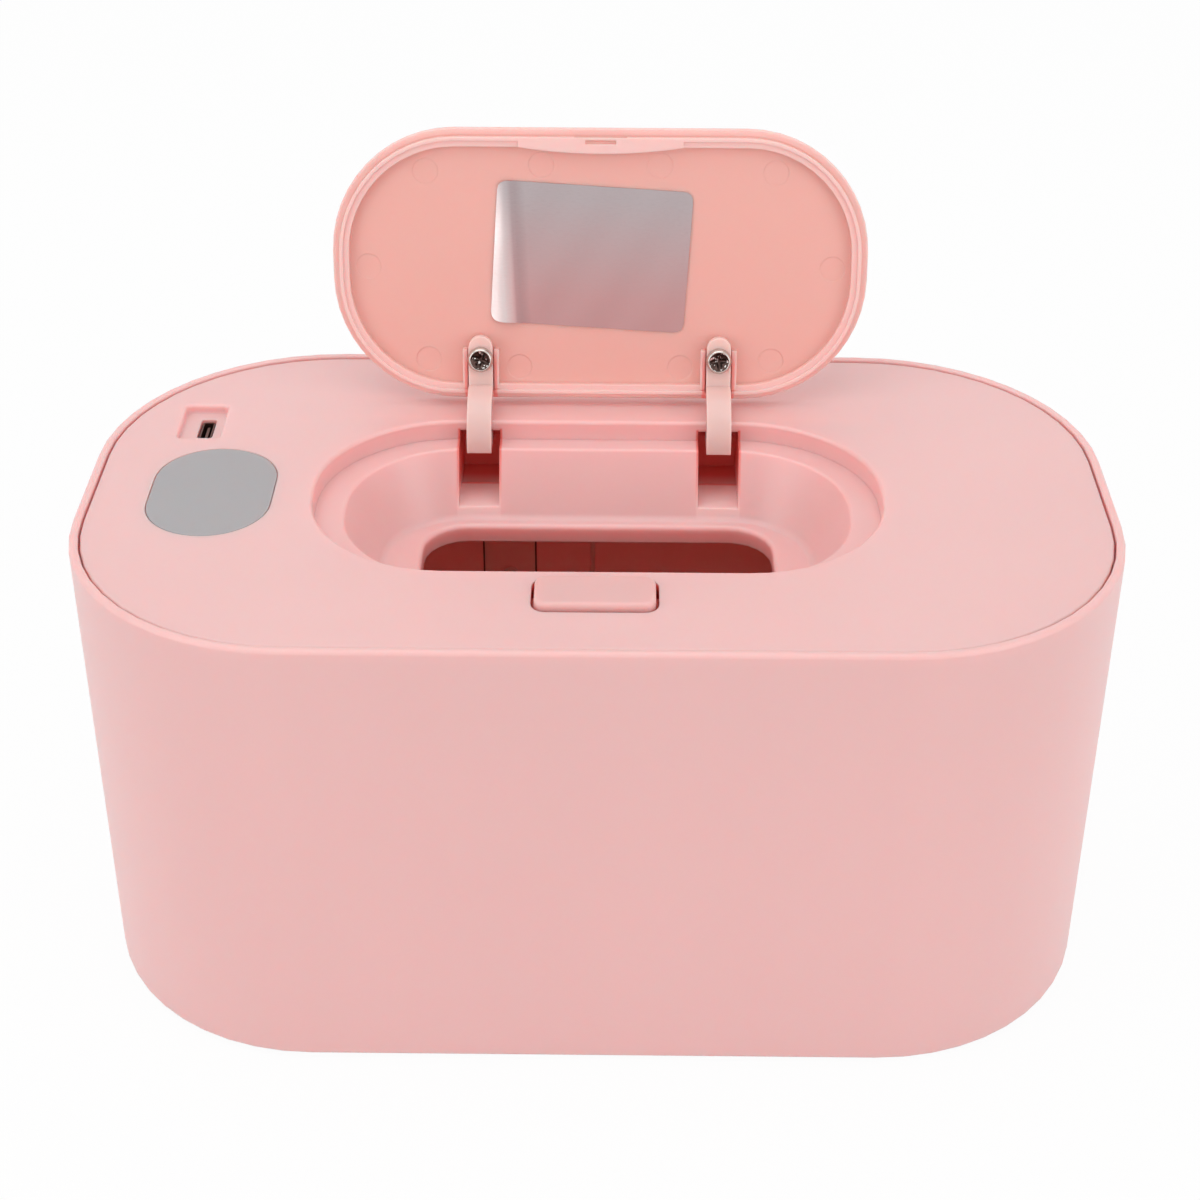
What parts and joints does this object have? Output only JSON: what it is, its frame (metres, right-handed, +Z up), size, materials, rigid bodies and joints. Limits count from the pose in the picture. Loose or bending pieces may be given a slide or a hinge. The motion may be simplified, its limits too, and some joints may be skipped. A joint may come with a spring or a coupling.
{
  "type": "baby wipe warmer",
  "caption": "Rounded wipe warmer with a deep tub, a lift-off heated cover with a recessed dispensing slot, and a sprung lid on two gooseneck arms.",
  "frame": {"origin": "on the table, under the middle of the tub", "axes": "+Z up, +X along the tub's length to the right seen from the front, +Y to the back"},
  "size_m": [0.208, 0.1204, 0.1576],
  "materials": {
    "pink_plastic": "satin",
    "inner_pink_plastic": "satin",
    "pale_arm_plastic": "satin",
    "grey_window": "satin",
    "bright_steel": "polished",
    "silver_foil": "satin",
    "grey_rubber": "matte",
    "heat_aluminium": "brushed",
    "heater_film": "satin",
    "board_green": "satin",
    "dark_component": "satin",
    "lead_insulation": "matte"
  },
  "bodies": {
    "tub": {"tub_housing": "pink_plastic", "base_foot_1": "grey_rubber", "base_foot_2": "grey_rubber", "base_foot_3": "grey_rubber", "base_foot_4": "grey_rubber"},
    "cover": {"top_panel": "pink_plastic", "heat_plate": "heat_aluminium", "heater_film": "heater_film", "inner_cover": "inner_pink_plastic", "cover_screw_1": "bright_steel", "cover_screw_2": "bright_steel", "cover_screw_3": "bright_steel", "cover_screw_4": "bright_steel", "cover_screw_5": "bright_steel", "cover_screw_6": "bright_steel", "cover_screw_7": "bright_steel", "cover_screw_8": "bright_steel", "display_window": "grey_window", "control_board": "board_green", "display_module": "dark_component", "capacitor": "heat_aluminium", "control_chip": "dark_component", "power_transistor": "dark_component", "charging_socket": "bright_steel", "board_screw_1": "bright_steel", "board_screw_2": "bright_steel", "heater_lead_live": "lead_insulation", "heater_lead_return": "lead_insulation", "sensor_lead": "lead_insulation", "thermal_fuse": "bright_steel", "thermistor": "dark_component", "button_spring_left": "bright_steel", "button_spring_right": "bright_steel", "torsion_spring": "bright_steel"},
    "lid": {"lid_shell": "pink_plastic", "foil_label": "silver_foil", "hinge_shaft": "bright_steel", "shaft_clip_left": "bright_steel", "shaft_clip_right": "bright_steel", "spring_collar": "pale_arm_plastic", "hinge_arm_left": "pale_arm_plastic", "hinge_arm_right": "pale_arm_plastic", "arm_screw_left": "bright_steel", "arm_screw_right": "bright_steel"},
    "button": {"release_button": "pink_plastic"},
    "latch": {"latch_slide": "pale_arm_plastic"}
  },
  "joints": [
    {"name": "cover_lift", "type": "slide", "parent": "tub", "child": "cover", "axis": [0, 0, 1], "range_m": [0, 0.03]},
    {"name": "lid_hinge", "type": "hinge", "parent": "cover", "child": "lid", "pos_m": [0, 0.0339, 0.0955], "axis": [1, 0, 0], "range_deg": [0, 102], "stiffness_Nm_per_rad": 0.006, "springref_deg": -17.19},
    {"name": "button_press", "type": "slide", "parent": "cover", "child": "button", "axis": [0, 0, -1], "range_m": [0, 0.002], "stiffness_N_per_m": 600, "springref_m": -0.002, "deforming": ["button_spring_left", "button_spring_right"]},
    {"name": "latch_draw", "type": "slide", "parent": "cover", "child": "latch", "axis": [0, -1, 0], "range_m": [0, 0.0015]}
  ],
  "couplings": [
    {"joint": "latch_draw", "follows": "button_press", "ratio": 0.75}
  ]
}
